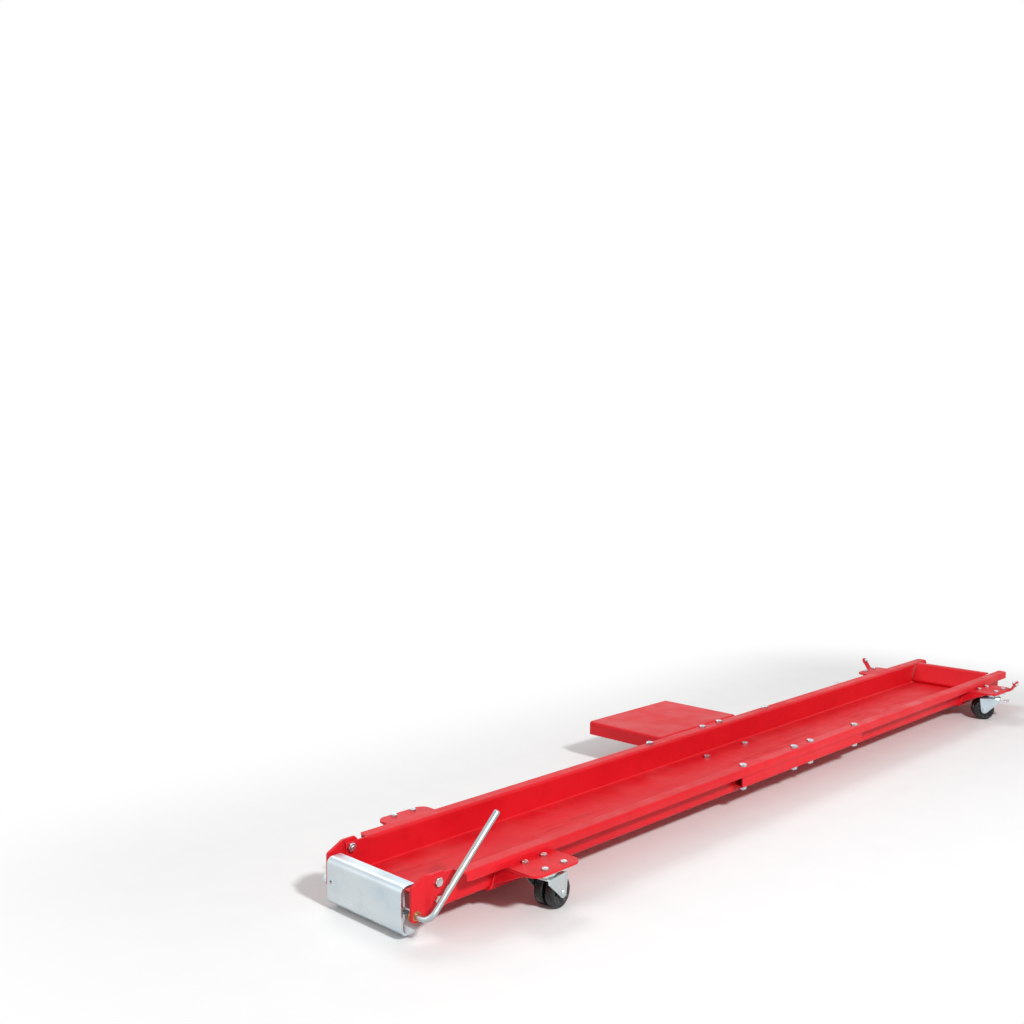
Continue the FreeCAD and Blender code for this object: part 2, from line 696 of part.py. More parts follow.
def caster_fork(with_pedal):
    section = [
        (-FORK_OUTER, 0),
        (-FORK_OUTER, CROWN_TOP),
        (FORK_OUTER, CROWN_TOP),
        (FORK_OUTER, 0),
    ]
    x_range = (-FORK_NOSE - CUT_PAST, FORK_TAIL + CUT_PAST)
    sheet = folded_along_x(section[::-1], FORK_SHEET, FORK_BEND, x_range)
    side_view = fork_leg_outline().extrude(LEFT * 4 * FORK_OUTER).translated(LEFT * -2 * FORK_OUTER)
    plan = box((-FORK_NOSE, FORK_TAIL), (-FORK_OUTER, FORK_OUTER), (0, CROWN_TOP))
    plan = round_uprights(plan, FORK_CORNER, lambda point: point.x < 0)
    fork = sheet.common(side_view).common(plan)
    under_crown = Vector(0, 0, CROWN_BOTTOM - CUT_PAST)
    beside_leg = Vector(TRAIL, -2 * FORK_OUTER, WHEEL_RADIUS)
    holes = [
        cylinder(KINGPIN_RADIUS + RUNNING_CLEARANCE, under_crown, UP, FORK_SHEET + 2 * CUT_PAST),
        cylinder(AXLE_RADIUS + SEAT_CLEARANCE, beside_leg, LEFT, 4 * FORK_OUTER),
    ]
    if with_pedal:
        radius = PEDAL_PIN_RADIUS + RUNNING_CLEARANCE
        holes.append(cylinder(radius, pedal_pin_start(-2 * FORK_OUTER), LEFT, 4 * FORK_OUTER))
    return cut(fork, *holes)


def caster_axle():
    """The riveted axle pin with a head outside each leg and the spacer between the two wheels."""
    centre = Vector(TRAIL, 0, WHEEL_RADIUS)
    pin = cylinder(AXLE_RADIUS, centre - LEFT * FORK_OUTER, LEFT, 2 * FORK_OUTER)
    heads = []
    for side in (-1, 1):
        seat = centre + LEFT * side * FORK_OUTER
        head = cylinder(AXLE_HEAD, seat, LEFT * side, AXLE_HEAD_HEIGHT)
        middle = FORK_OUTER + AXLE_HEAD_HEIGHT / 2
        rim = [edge for edge in head.Edges if edge.isClosed() and abs(edge.CenterOfMass.y) > middle]
        heads.append(head.makeChamfer(AXLE_HEAD_EDGE, rim))
    gap = WHEEL_SPACING - WHEEL_WIDTH - 2 * HUB_PROUD - FORK_SIDE_GAP
    sleeve = cylinder(AXLE_HEAD, centre - LEFT * gap / 2, LEFT, gap)
    return fuse(pin, sleeve, *heads)


def caster_wheel(side):
    """One of the two wheels: bevelled tread, dished faces and a hub bored for the axle."""
    half, hub = WHEEL_WIDTH / 2, WHEEL_WIDTH / 2 + HUB_PROUD
    bore = AXLE_RADIUS + RUNNING_CLEARANCE
    dish, inset = half - WHEEL_DISH_DEPTH, WHEEL_DISH_DEPTH / 2
    shoulder, step = WHEEL_SHOULDER, WHEEL_SHOULDER_STEP
    profile = [
        (bore, hub), (WHEEL_DISH_INNER - inset, hub), (WHEEL_DISH_INNER, dish), (WHEEL_DISH_OUTER, dish),
        (WHEEL_DISH_OUTER + inset, half), (WHEEL_RADIUS - shoulder, half),
        (WHEEL_RADIUS - step, half - step), (WHEEL_RADIUS, half - shoulder),
    ]
    rings = profile + [(radius, -along) for radius, along in profile[::-1]]
    points = [Vector(radius, along, 0) for radius, along in rings]
    wheel = Part.Face(Part.makePolygon(points + points[:1])).revolve(Vector(0, 0, 0), LEFT, 360)
    return wheel.translated(Vector(TRAIL, side * WHEEL_SPACING / 2, WHEEL_RADIUS))


def pedal_pin_start(y):
    return Vector(PEDAL_PIN_X, y, CROWN_BOTTOM - PEDAL_PIN_DROP)


def brake_pedal():
    """A pressed tread on a cross pin, with a shoe that turns towards the wheels."""
    pin_z = CROWN_BOTTOM - PEDAL_PIN_DROP
    pin = cylinder(PEDAL_PIN_RADIUS, pedal_pin_start(-FORK_OUTER), LEFT, 2 * FORK_OUTER)
    tread = [
        (PEDAL_PIN_X, pin_z - PEDAL_SHEET / 2),
        (-PEDAL_REACH + PEDAL_TREAD, pin_z - PEDAL_SHEET / 2 - PEDAL_DROP),
        (-PEDAL_REACH, pin_z - PEDAL_SHEET / 2 - PEDAL_DROP + PEDAL_SHEET),
    ]
    y_range = (-PEDAL_WIDTH / 2, PEDAL_WIDTH / 2)
    plate = folded_along_y(tread[::-1], PEDAL_SHEET, PEDAL_SHEET, y_range)
    turn = math.atan2(WHEEL_RADIUS - pin_z, TRAIL - PEDAL_PIN_X) - math.radians(PEDAL_SHOE_TURN)
    along = Vector(math.cos(turn), 0, math.sin(turn))
    shoe_end = Vector(PEDAL_PIN_X, 0, pin_z) + along * PEDAL_SHOE_LENGTH
    inner = FORK_INNER - PEDAL_SIDE_GAP
    shoe = [(PEDAL_PIN_X, pin_z), (shoe_end.x, shoe_end.z)]
    strip = folded_along_y(shoe, PEDAL_SHEET, PEDAL_SHEET, (-inner, inner))
    strip = strip.translated(Vector(along.z, 0, -along.x) * PEDAL_SHEET / 2)
    return fuse(pin, plate, strip)


def placed_caster(shape, corner):
    x, y = CASTER_PLACES[corner]
    turned = shape.copy()
    turned.rotate(Vector(0, 0, 0), UP, REST_ANGLES[corner])
    return turned.translated(Vector(x, y, 0))


def fixed_caster(shape, corner):
    x, y = CASTER_PLACES[corner]
    return shape.translated(Vector(x, y, 0))


# Rear wheel stop with its lever
def ear():
    """The left ear: bolted outside the wall, joggled inwards behind it and bored for the bush."""
    jog = -(HALF_LENGTH + EAR_JOG_GAP)
    plan = [
        (EAR_REAR, EAR_REAR_INNER),
        (jog - EAR_JOG_RUN, EAR_REAR_INNER),
        (jog, WALL_OUTER),
        (EAR_FRONT, WALL_OUTER),
    ]
    face = folded_face(plan, EAR_SHEET, BEND, lambda x, y: Vector(x, y, EAR_BOTTOM - CUT_PAST))
    sheet = face.extrude(UP * (EAR_TOP - EAR_BOTTOM + 2 * CUT_PAST))
    points = [
        (EAR_REAR, EAR_BOTTOM),
        (EAR_REAR + EAR_CHAMFER_X, EAR_BOTTOM),
        (EAR_FRONT, FLOOR_UNDERSIDE + EAR_SHEET),
        (EAR_FRONT, EAR_TOP - EAR_SHEET),
        (EAR_FRONT - EAR_SHEET, EAR_TOP),
        (EAR_REAR + EAR_CHAMFER_X, EAR_TOP),
        (EAR_REAR, EAR_TOP - EAR_CHAMFER_Z),
    ]
    corners = [Vector(x, EAR_REAR_INNER - EAR_SHEET, z) for x, z in points]
    across = LEFT * (EAR_JOG + 3 * EAR_SHEET)
    blank = Part.Face(Part.makePolygon(corners + corners[:1])).extrude(across)
    rear_edges = []
    for edge in blank.Edges:
        if abs(edge.tangentAt(0).y) > 0.99 and abs(edge.CenterOfMass.x - EAR_REAR) < 1e-6:
            rear_edges.append(edge)
    plate = sheet.common(blank.makeFillet(EAR_CORNER, rear_edges))
    bush_radius = SHAFT_RADIUS + RUNNING_CLEARANCE + BUSH_WALL + SEAT_CLEARANCE
    beside = EAR_REAR_INNER - EAR_SHEET
    holes = [cylinder(bush_radius, Vector(PIVOT_X, beside, PIVOT_HEIGHT), LEFT, across.y)]
    for x, z in ear_bolt_places():
        holes.append(bolt_hole(BOLT_M8, Vector(x, beside, z), LEFT, across.y))
    return cut(plate, *holes)


def pivot_bush():
    """The flanged bush of the left ear, its flange on the inner side."""
    bore = SHAFT_RADIUS + RUNNING_CLEARANCE
    seat = Vector(PIVOT_X, EAR_REAR_INNER, PIVOT_HEIGHT)
    sleeve = cylinder(bore + BUSH_WALL, seat, LEFT, EAR_SHEET)
    flange = cylinder(bore + BUSH_WALL + BUSH_FLANGE, seat, LEFT * -1, BUSH_FLANGE_HEIGHT)
    inner_end = seat - LEFT * BUSH_FLANGE_HEIGHT
    return cut(fuse(sleeve, flange), cylinder(bore, inner_end, LEFT, EAR_SHEET + BUSH_FLANGE_HEIGHT))


def pivot_bushes():
    return [pivot_bush(), mirrored(pivot_bush())]


def ear_bolt_seats(y):
    return [(side, Vector(x, side * y, z)) for side in (-1, 1) for x, z in ear_bolt_places()]


def ear_bolts():
    grip = EAR_SHEET + SHEET
    return [bolt(BOLT_M8, seat, LEFT * -side, grip) for side, seat in ear_bolt_seats(EAR_OUTER)]


def ear_nuts():
    return [nut(BOLT_M8, seat, LEFT * -side) for side, seat in ear_bolt_seats(WALL_INNER)]


def rear_stop():
    """A channel across the end that stands behind the tyre, with two lugs on the shaft."""
    top = STOP_BOTTOM + STOP_HEIGHT
    front = STOP_WEB_OUTER + STOP_DEPTH
    half = STOP_WIDTH / 2
    section = [(front, STOP_BOTTOM), (STOP_WEB_OUTER, STOP_BOTTOM), (STOP_WEB_OUTER, top), (front, top)]
    web = folded_along_y(section[::-1], STOP_SHEET, STOP_BEND, (-half, half))
    lugs = []
    for side in (-1, 1):
        y = side * LUG_SPREAD / 2
        lug = box(
            (STOP_WEB_INNER - STOP_SHEET / 2, PIVOT_X + SHAFT_RADIUS + LUG_MARGIN),
            (y - LUG_SHEET / 2, y + LUG_SHEET / 2),
            (STOP_BOTTOM + STOP_SHEET / 2, top - STOP_SHEET / 2),
        )
        across = [edge for edge in lug.Edges if abs(edge.tangentAt(0).y) > 0.99]
        rear = [edge for edge in across if edge.CenterOfMass.x < STOP_WEB_INNER]
        lug = lug.makeFillet(STOP_BEND + STOP_SHEET / 2, rear)
        nose = [edge for edge in lug.Edges
                if abs(edge.tangentAt(0).y) > 0.99 and edge.CenterOfMass.x > PIVOT_X + SHAFT_RADIUS]
        lugs.append(lug.makeFillet(LUG_ROUND, nose))
    shaft_end = Vector(PIVOT_X, -half, PIVOT_HEIGHT)
    shaft_hole = cylinder(SHAFT_RADIUS + SEAT_CLEARANCE, shaft_end, LEFT, STOP_WIDTH)
    drain = Vector(STOP_WEB_OUTER - CUT_PAST, half - STOP_HOLE_INSET, STOP_BOTTOM + STOP_HEIGHT / 2)
    drain_hole = cylinder(STOP_HOLE_RADIUS, drain, FORWARD, STOP_SHEET + 2 * CUT_PAST)
    return cut(fuse(web, *lugs), shaft_hole, drain_hole)


def stop_lever():
    """The round bar: the cross shaft through both ears, bent up into the lever on the right."""
    collar_end = EAR_REAR_OUTER + RACE_GAP + COLLAR_LENGTH + SHAFT_RADIUS
    angle = math.radians(LEVER_ANGLE)
    rise = Vector(math.cos(angle), 0, math.sin(angle))
    start = Vector(PIVOT_X, collar_end, PIVOT_HEIGHT)
    corner = Vector(PIVOT_X, -LEVER_Y, PIVOT_HEIGHT)
    enter = corner + LEFT * LEVER_BEND
    leave = corner + rise * LEVER_BEND
    centre = enter + rise * LEVER_BEND
    middle = centre + (LEFT * -1 - rise).normalize() * LEVER_BEND
    tip = corner + rise * LEVER_LENGTH
    path = Part.Wire([
        Part.LineSegment(start, enter).toShape(),
        Part.Arc(enter, middle, leave).toShape(),
        Part.LineSegment(leave, tip).toShape(),
    ])
    ring = Part.Wire(Part.Circle(start, LEFT, SHAFT_RADIUS).toShape())
    bar = path.makePipeShell([ring], True, False)
    rims = [edge for edge in bar.Edges
            if edge.isClosed() and min((edge.CenterOfMass - end).Length for end in (start, tip)) < 1e-3]
    return bar.makeChamfer(LEVER_CHAMFER, rims)


def shaft_collar():
    """The set collar that keeps the shaft in the left ear."""
    start = Vector(PIVOT_X, EAR_REAR_OUTER + RACE_GAP, PIVOT_HEIGHT)
    ring = cylinder(SHAFT_RADIUS + COLLAR_WALL, start, LEFT, COLLAR_LENGTH)
    return ring.cut(cylinder(SHAFT_RADIUS + SEAT_CLEARANCE, start, LEFT, COLLAR_LENGTH))


# Front wheel stop
def front_stop():
    """A sheet folded to lean against the front tyre, with a top fold and a foot on the floor."""
    top_x = FRONT_STOP_X + FRONT_STOP_LEAN
    outline = [
        (top_x + FRONT_STOP_FOOT, FLOOR_TOP),
        (FRONT_STOP_X, FLOOR_TOP),
        (top_x - FRONT_STOP_TOP, RAIL_TOP),
        (top_x, RAIL_TOP),
    ]
    half = WALL_INNER - BEND - FRONT_STOP_SIDE_GAP
    sheet = folded_along_y(outline[::-1], FRONT_STOP_SHEET, FRONT_STOP_BEND, (-half, half))
    low, high = FLOOR_TOP - CUT_PAST, FLOOR_TOP + FRONT_STOP_SHEET + CUT_PAST
    holes = [vertical_hole(BOLT_M8, place, low, high) for place in front_stop_bolt_places()]
    return cut(sheet, *holes)


def front_stop_bolts():
    z = FLOOR_TOP + FRONT_STOP_SHEET
    grip = FRONT_STOP_SHEET + SHEET
    return [bolt(BOLT_M8, Vector(x, y, z), DOWN, grip) for x, y in front_stop_bolt_places()]


def front_stop_nuts():
    return [nut(BOLT_M8, Vector(x, y, FLOOR_UNDERSIDE), DOWN) for x, y in front_stop_bolt_places()]


# Side-stand plate
def side_stand_plate():
    """A pressed tray with skirts all round, bolted through the left lip into the splice tube."""
    half = SIDE_PLATE_LENGTH / 2
    x_range = (SIDE_PLATE_CENTRE - half, SIDE_PLATE_CENTRE + half)
    y_range = (LIP_OUTER, LIP_OUTER + SIDE_PLATE_WIDTH)
    tray = box(x_range, y_range, (RAIL_TOP - SIDE_PLATE_SKIRT, RAIL_TOP))
    outer = [edge for edge in tray.Edges if edge.CenterOfMass.z > RAIL_TOP - SIDE_PLATE_SKIRT]
    tray = tray.makeFillet(SIDE_PLATE_BEND + SIDE_PLATE_SHEET, outer)
    wall = SIDE_PLATE_SHEET
    hollow = box(
        (x_range[0] + wall, x_range[1] - wall),
        (y_range[0] + wall, y_range[1] - wall),
        (RAIL_TOP - SIDE_PLATE_SKIRT - SIDE_PLATE_BEND, RAIL_TOP - wall),
    )
    inner = [edge for edge in hollow.Edges if edge.CenterOfMass.z > RAIL_TOP - SIDE_PLATE_SKIRT]
    tray = tray.cut(hollow.makeFillet(SIDE_PLATE_BEND, inner))
    return cut(tray, *side_holes())


def side_bolts():
    seat = LIP_OUTER + SIDE_PLATE_SHEET
    grip = seat - (TUBE_OUTER_FACE - TUBE_WALL)
    return [bolt(BOLT_M8, Vector(x, seat, SIDE_BOLT_Z), LEFT * -1, grip) for x in side_bolt_stations()]


def side_nuts():
    seat = TUBE_OUTER_FACE - TUBE_WALL
    return [nut(BOLT_M8, Vector(x, seat, SIDE_BOLT_Z), LEFT * -1) for x in side_bolt_stations()]


def side_spacers():
    """The rings that fill the space under the lip, between the tube and the skirt."""
    length = LIP_OUTER - TUBE_OUTER_FACE
    bore = BOLT_M8["shank"] + HOLE_CLEARANCE
    rings = []
    for x in side_bolt_stations():
        start = Vector(x, TUBE_OUTER_FACE, SIDE_BOLT_Z)
        ring = cylinder(bore + SPACER_WALL, start, LEFT, length)
        rings.append(ring.cut(cylinder(bore, start, LEFT, length)))
    return rings


# All nodes, each a list of separate solids
def build():
    nodes = {
        "rear_channel": [rear_channel()],
        "front_channel": [front_channel()],
        "splice_tube_left": [splice_tube_left()],
        "splice_tube_right": [splice_tube_right()],
        "splice_floor_plate": [splice_floor_plate()],
        "flange_bolts": flange_bolts(),
        "flange_nuts": flange_nuts(),
        "floor_bolts": floor_bolts(),
        "floor_nuts": floor_nuts(),
        "rear_outrigger": [rear_outrigger()],
        "front_outrigger": [front_outrigger()],
        "tie_down_tabs": tie_down_tabs(),
        "tie_down_screws": tie_down_screws(),
        "tie_down_nuts": tie_down_nuts(),
        "caster_bolts": caster_bolts(),
        "caster_nuts": caster_nuts(),
        "ear_left": [ear()],
        "ear_right": [mirrored(ear())],
        "ear_bolts": ear_bolts(),
        "ear_nuts": ear_nuts(),
        "pivot_bushes": pivot_bushes(),
        "rear_stop": [rear_stop()],
        "stop_lever": [stop_lever()],
        "shaft_collar": [shaft_collar()],
        "front_stop": [front_stop()],
        "front_stop_bolts": front_stop_bolts(),
        "front_stop_nuts": front_stop_nuts(),
        "side_stand_plate": [side_stand_plate()],
        "side_bolts": side_bolts(),
        "side_nuts": side_nuts(),
        "side_spacers": side_spacers(),
    }
    for corner in CASTER_PLACES:
        braked = corner.startswith("front")
        nodes[corner + "_caster_plate"] = [fixed_caster(caster_plate(), corner)]
        nodes[corner + "_kingpin"] = [fixed_caster(caster_kingpin(), corner)]
        nodes[corner + "_fork"] = [placed_caster(caster_fork(braked), corner)]
        nodes[corner + "_axle"] = [placed_caster(caster_axle(), corner)]
        nodes[corner + "_wheel_inner"] = [placed_caster(caster_wheel(1), corner)]
        nodes[corner + "_wheel_outer"] = [placed_caster(caster_wheel(-1), corner)]
        if braked:
            nodes[corner + "_brake_pedal"] = [placed_caster(brake_pedal(), corner)]
    return nodes


NODES = build()
REACH = Part.makeCompound([solid for solids in NODES.values() for solid in solids]).optimalBoundingBox()
SHIFT = Vector(-REACH.Center.x, -REACH.Center.y, -REACH.ZMin)

os.makedirs("parts", exist_ok=True)
for name, solids in NODES.items():
    moved = [solid.translated(SHIFT) for solid in solids]
    Part.makeCompound(moved).exportStep("parts/" + name + ".step")
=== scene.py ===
import json
import math

import bmesh
import bpy
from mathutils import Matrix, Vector


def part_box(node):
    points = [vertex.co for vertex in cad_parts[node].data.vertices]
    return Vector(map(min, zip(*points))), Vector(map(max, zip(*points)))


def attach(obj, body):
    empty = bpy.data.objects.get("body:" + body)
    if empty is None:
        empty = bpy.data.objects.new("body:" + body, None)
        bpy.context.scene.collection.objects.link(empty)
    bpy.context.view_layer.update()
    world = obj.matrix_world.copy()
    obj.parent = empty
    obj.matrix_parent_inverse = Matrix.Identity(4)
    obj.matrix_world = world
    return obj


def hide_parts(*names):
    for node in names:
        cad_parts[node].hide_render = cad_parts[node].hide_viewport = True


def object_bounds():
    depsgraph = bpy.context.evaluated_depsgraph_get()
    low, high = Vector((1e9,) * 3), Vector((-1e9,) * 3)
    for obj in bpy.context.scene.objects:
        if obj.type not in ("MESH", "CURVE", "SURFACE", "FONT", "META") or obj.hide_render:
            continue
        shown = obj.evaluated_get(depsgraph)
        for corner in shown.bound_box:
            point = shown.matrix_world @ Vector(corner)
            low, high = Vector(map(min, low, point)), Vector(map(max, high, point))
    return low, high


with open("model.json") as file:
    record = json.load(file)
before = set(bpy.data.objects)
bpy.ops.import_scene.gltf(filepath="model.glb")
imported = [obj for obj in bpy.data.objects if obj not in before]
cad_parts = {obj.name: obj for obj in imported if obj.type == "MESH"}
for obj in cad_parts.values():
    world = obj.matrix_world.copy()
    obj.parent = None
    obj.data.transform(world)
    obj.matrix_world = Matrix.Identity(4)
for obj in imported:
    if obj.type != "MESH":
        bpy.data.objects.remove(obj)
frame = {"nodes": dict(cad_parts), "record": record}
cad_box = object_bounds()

NODES = frame["nodes"]
BODIES = frame["record"]["behaviour"]["bodies"]
BODY_OF = {node: body for body, names in BODIES.items() for node in names}
JOINTS = {row["name"]: row for row in frame["record"]["behaviour"]["joints"]}
SLOT_OF = {row["node"]: row["material_slot"] for row in frame["record"]["subparts"]}
MM = 0.001

scene = bpy.context.scene
scene.view_settings.view_transform = "Standard"


# Shader nodes
COLOUR_A, COLOUR_B, COLOUR_OUT = 6, 7, 2
BEVEL_SAMPLES = 6
EDGE_FAINT = 0.012
EDGE_FULL = 0.16


class Graph:
    """The node tree of a material or of the world, with short calls for the nodes used below."""

    def __init__(self, owner):
        owner.use_nodes = True
        self.owner = owner
        self.tree = owner.node_tree

    def add(self, kind, **values):
        node = self.tree.nodes.new(kind)
        for key, value in values.items():
            setattr(node, key, value)
        return node

    def put(self, value, socket):
        """Link a socket to the output of a node, or set it to a fixed value."""
        if isinstance(value, bpy.types.NodeSocket):
            self.tree.links.new(value, socket)
        else:
            socket.default_value = value

    def calculate(self, operation, first, second=0.0, clamp=False):
        node = self.add("ShaderNodeMath", operation=operation, use_clamp=clamp)
        self.put(first, node.inputs[0])
        self.put(second, node.inputs[1])
        return node.outputs[0]

    def times(self, product, *factors):
        for factor in factors:
            product = self.calculate("MULTIPLY", product, factor)
        return product

    def plus(self, first, second, clamp=False):
        return self.calculate("ADD", first, second, clamp)

    def ramp(self, value, low, high, to_low=0.0, to_high=1.0):
        """An amount that eases from to_low to to_high while the value goes from low to high."""
        node = self.add("ShaderNodeMapRange", interpolation_type="SMOOTHSTEP")
        levels = {"Value": value, "From Min": low, "From Max": high, "To Min": to_low, "To Max": to_high}
        for name, amount in levels.items():
            self.put(amount, node.inputs[name])
        return node.outputs["Result"]

    def mix(self, factor, first, second):
        node = self.add("ShaderNodeMix", data_type="RGBA")
        self.put(factor, node.inputs["Factor"])
        self.put(first, node.inputs[COLOUR_A])
        self.put(second, node.inputs[COLOUR_B])
        return node.outputs[COLOUR_OUT]

    def tinted(self, tone, colour, mask, share=1.0):
        """A tone with a share of another colour over it, where the mask is up."""
        return self.mix(self.times(mask, share), tone, colour)

    def coordinates(self, stretch=(1, 1, 1)):
        mapping = self.add("ShaderNodeMapping")
        self.put(self.add("ShaderNodeTexCoord").outputs["Object"], mapping.inputs["Vector"])
        self.put(stretch, mapping.inputs["Scale"])
        return mapping.outputs["Vector"]

    def noise(self, scale, detail=3.0, roughness=0.5, stretch=(1, 1, 1)):
        node = self.add("ShaderNodeTexNoise")
        self.put(self.coordinates(stretch), node.inputs["Vector"])
        self.put(scale, node.inputs["Scale"])
        self.put(detail, node.inputs["Detail"])
        self.put(roughness, node.inputs["Roughness"])
        return node.outputs["Fac"]

    def patches(self, scale, low, high, to_low=0.0, to_high=1.0, **noise):
        """Soft-edged patches: noise that eases from to_low to to_high between two of its levels."""
        return self.ramp(self.noise(scale, **noise), low, high, to_low, to_high)

    def axes(self, vector):
        """The X, Y and Z of a vector."""
        node = self.add("ShaderNodeSeparateXYZ")
        self.put(vector, node.inputs[0])
        return node.outputs

    def position(self):
        """The point on the piece, as X, Y and Z."""
        return self.axes(self.coordinates())

    def normal(self):
        return self.add("ShaderNodeNewGeometry").outputs["Normal"]

    def facing_up(self):
        """The upward share of the surface's direction, 1 on a level top face."""
        return self.axes(self.normal())["Z"]

    def rounded_normal(self, radius):
        """The surface's direction, as if its edges were rounded off."""
        node = self.add("ShaderNodeBevel", samples=BEVEL_SAMPLES)
        self.put(radius, node.inputs["Radius"])
        return node.outputs["Normal"]

    def edges(self, radius):
        """1 on sharp edges, 0 on flat faces."""
        dot = self.add("ShaderNodeVectorMath", operation="DOT_PRODUCT")
        self.put(self.rounded_normal(radius), dot.inputs[0])
        self.put(self.normal(), dot.inputs[1])
        return self.ramp(self.calculate("SUBTRACT", 1.0, dot.outputs["Value"]), EDGE_FAINT, EDGE_FULL)

    def bump(self, height, distance, strength, under=None):
        """The surface's direction with relief on it, over another direction where one is given."""
        node = self.add("ShaderNodeBump")
        self.put(height, node.inputs["Height"])
        self.put(distance, node.inputs["Distance"])
        self.put(strength, node.inputs["Strength"])
        if under is not None:
            self.put(under, node.inputs["Normal"])
        return node.outputs["Normal"]

    def seen(self):
        """1 for what is looked at, also in a reflection or through glass, 0 for the light it sheds."""
        light = self.add("ShaderNodeLightPath").outputs
        seen = self.calculate("MAXIMUM", light["Is Camera Ray"], light["Is Glossy Ray"])
        return self.calculate("MAXIMUM", seen, light["Is Transmission Ray"])

    def finish(self, **sockets):
        """The material, with these values in the sockets of its surface."""
        surface = self.tree.nodes["Principled BSDF"]
        for name, value in sockets.items():
            self.put(value, surface.inputs[name.replace("_", " ")])
        return self.owner


def rgb(*values, brightness=1.0):
    """Linear colour from 0-255 display values."""
    linear = []
    for value in values:
        share = value / 255
        channel = share / 12.92 if share <= 0.04045 else ((share + 0.055) / 1.055) ** 2.4
        linear.append(channel * brightness)
    return (*linear, 1.0)


# Materials
M8_HEAD = 5.3 * MM
RUBBED_HALF = 45 * MM
RUBBED_END = 85 * MM
RUBBED_RISE = (1 * MM, 6 * MM)
COAT_IOR = 1.3
channel_low, channel_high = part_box("front_channel")
TROUGH_MIDDLE = (channel_low.y + channel_high.y) / 2
FLOOR_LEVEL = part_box("floor_bolts")[1].z - M8_HEAD


def rubbed_streaks(graph):
    """Streaks along the middle of the trough's floor, where it is rubbed most."""
    _, across, height = graph.position()
    off_middle = graph.calculate("ABSOLUTE", graph.calculate("SUBTRACT", across, TROUGH_MIDDLE))
    path = graph.ramp(off_middle, RUBBED_HALF, RUBBED_END, 1.0, 0.0)
    low, high = (FLOOR_LEVEL + rise for rise in RUBBED_RISE)
    floor = graph.ramp(height, low, high, 1.0, 0.0)
    streaks = graph.patches(9, 0.5, 0.72, detail=7, roughness=0.7, stretch=(0.5, 7, 1))
    return graph.times(path, floor, streaks)


def powder_coat(name, scuffed=False):
    """Gloss red powder coat: orange peel, faint fading, dust on level faces, a painted highlight along the
    edges and chips on the edges.
    """
    graph = Graph(bpy.data.materials.new(name))
    fading = graph.patches(2.2, 0.32, 0.68, detail=4)
    tone = graph.mix(fading, rgb(208, 20, 33), rgb(222, 30, 42))
    mottle = graph.patches(38, 0.45, 0.75, detail=5, roughness=0.6)
    tone = graph.tinted(tone, rgb(190, 15, 27), mottle, 0.35)
    level = graph.ramp(graph.facing_up(), 0.8, 0.98)
    dust = graph.times(level, graph.patches(11, 0.42, 0.78, detail=6, roughness=0.65))
    tone = graph.tinted(tone, rgb(206, 150, 142), dust, 0.09)
    rough = graph.plus(graph.patches(17, 0.3, 0.7, 0.36, 0.5, detail=5), graph.times(dust, 0.16))
    if scuffed:
        rubbed = graph.times(rubbed_streaks(graph), level)
        tone = graph.tinted(tone, rgb(88, 20, 24), rubbed, 0.24)
        rough = graph.plus(rough, graph.times(rubbed, 0.2))
    # Painted highlight: every sharp edge is tinted a lighter pink; the same edge mask also places the
    # chips below.
    rim = graph.edges(1.6 * MM)
    tone = graph.tinted(tone, rgb(240, 84, 88), rim, 0.3)
    specks = graph.patches(210, 0.6, 0.66, detail=4, roughness=0.6)
    knocked = graph.patches(7, 0.5, 0.62, detail=2)
    chip = graph.times(rim, specks, knocked)
    tone = graph.tinted(tone, rgb(122, 112, 110), chip)
    rough = graph.plus(rough, graph.times(chip, 0.2), clamp=True)
    soft = graph.rounded_normal(0.9 * MM)
    peel = graph.bump(graph.noise(520, detail=2), 0.12 * MM, 0.55, under=soft)
    dents = graph.bump(graph.noise(5, detail=2), 1.0 * MM, 0.2, under=peel)
    return graph.finish(Base_Color=tone, Roughness=rough, Normal=dents, IOR=COAT_IOR)


def zinc_plate(name, stretch=(1, 1, 1), brightness=1.0):
    """Bright zinc plate: blue and straw tints that drift over the piece, cloudy gloss and a painted
    highlight on the edges.
    """
    graph = Graph(bpy.data.materials.new(name))
    cool = rgb(180, 202, 216, brightness=brightness)
    pale = rgb(208, 216, 219, brightness=brightness)
    straw = rgb(208, 208, 190, brightness=brightness)
    tone = graph.mix(graph.patches(9, 0.3, 0.7, detail=4, roughness=0.6, stretch=stretch), cool, pale)
    tone = graph.tinted(tone, straw, graph.patches(5, 0.5, 0.75, stretch=stretch), 0.5)
    clouds = graph.patches(46, 0.46, 0.8)
    tone = graph.tinted(tone, rgb(150, 156, 160), clouds, 0.14)
    # Painted highlight: every sharp edge is tinted near-white.
    tone = graph.tinted(tone, rgb(236, 240, 242), graph.edges(1.2 * MM), 0.3)
    rough = graph.patches(24, 0.28, 0.72, 0.22, 0.42, detail=5, roughness=0.6, stretch=stretch)
    rough = graph.plus(rough, graph.times(clouds, 0.08))
    soft = graph.rounded_normal(0.6 * MM)
    grain = graph.bump(graph.noise(700, stretch=stretch), 0.05 * MM, 0.35, under=soft)
    return graph.finish(Base_Color=tone, Roughness=rough, Normal=grain, Metallic=1.0)


